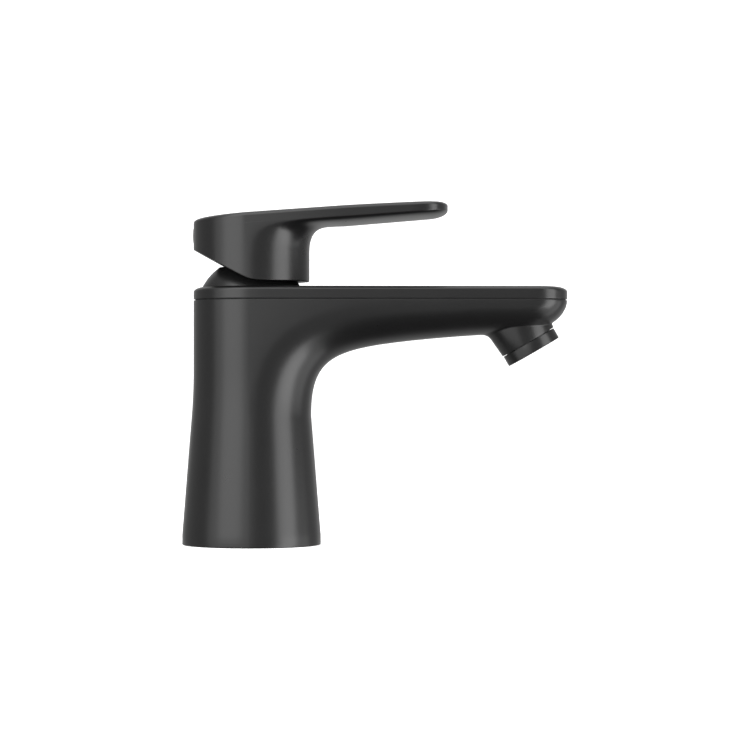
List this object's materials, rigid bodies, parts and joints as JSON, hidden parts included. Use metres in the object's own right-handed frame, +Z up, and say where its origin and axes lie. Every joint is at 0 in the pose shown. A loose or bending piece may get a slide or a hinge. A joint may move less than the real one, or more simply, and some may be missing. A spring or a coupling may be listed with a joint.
{
  "type": "basin mixer faucet",
  "caption": "Matte black single-lever basin mixer: tapered column flowing into a flat-topped spout, ball cap, flat lever and angled aerator.",
  "frame": {"origin": "centre of the foot, on the deck", "axes": "+X towards the spout, +Y across, +Z up"},
  "size_m": [0.1461, 0.0526, 0.1297],
  "materials": {
    "matte_black_metal": "fine satin powder coat",
    "black_cap": "satin",
    "black_plastic": "satin moulded",
    "seal_rubber": "matt",
    "nut_brass": "turned",
    "cartridge_plastic": "moulded",
    "ceramic": "lapped",
    "limit_red": "moulded",
    "grey_plastic": "moulded",
    "steel": "brushed",
    "stem_zinc": "die cast"
  },
  "bodies": {
    "body": {"faucet_body": "matte_black_metal", "inlet_block": "nut_brass", "block_seal": "seal_rubber", "base_gasket": "seal_rubber", "plate_gasket": "seal_rubber", "top_cover_plate": "matte_black_metal", "dome_cap": "black_cap", "dome_seal": "seal_rubber", "cartridge_nut": "nut_brass", "cartridge_housing": "cartridge_plastic", "cartridge_base": "cartridge_plastic", "base_seals": "seal_rubber", "disc_seals": "seal_rubber", "fixed_ceramic_disc": "ceramic", "temperature_limit_ring": "limit_red", "aerator_housing": "black_plastic", "aerator_washer": "seal_rubber", "aerator_insert": "grey_plastic", "aerator_screen": "steel"},
    "rotor": {"stem_guide": "grey_plastic", "guide_seal": "seal_rubber", "pivot_pin": "steel"},
    "lever": {"cartridge_stem": "stem_zinc", "lever_handle": "matte_black_metal", "handle_set_screw": "steel", "set_screw_plug": "black_plastic"},
    "disc": {"moving_ceramic_disc": "ceramic", "disc_coupler": "grey_plastic"}
  },
  "joints": [
    {"name": "handle_swing", "type": "hinge", "parent": "body", "child": "rotor", "pos_m": [0, 0, 0.0881], "axis": [0, 0, 1], "range_deg": [-45, 45]},
    {"name": "handle_lift", "type": "hinge", "parent": "rotor", "child": "lever", "pos_m": [0, 0, 0.0881], "axis": [0, -1, 0], "range_deg": [0, 25]},
    {"name": "disc_slide", "type": "slide", "parent": "rotor", "child": "disc", "axis": [1, 0, 0], "range_m": [0, 0.00435]}
  ],
  "couplings": [
    {"joint": "disc_slide", "follows": "handle_lift", "m_per_rad": 0.0099209}
  ]
}
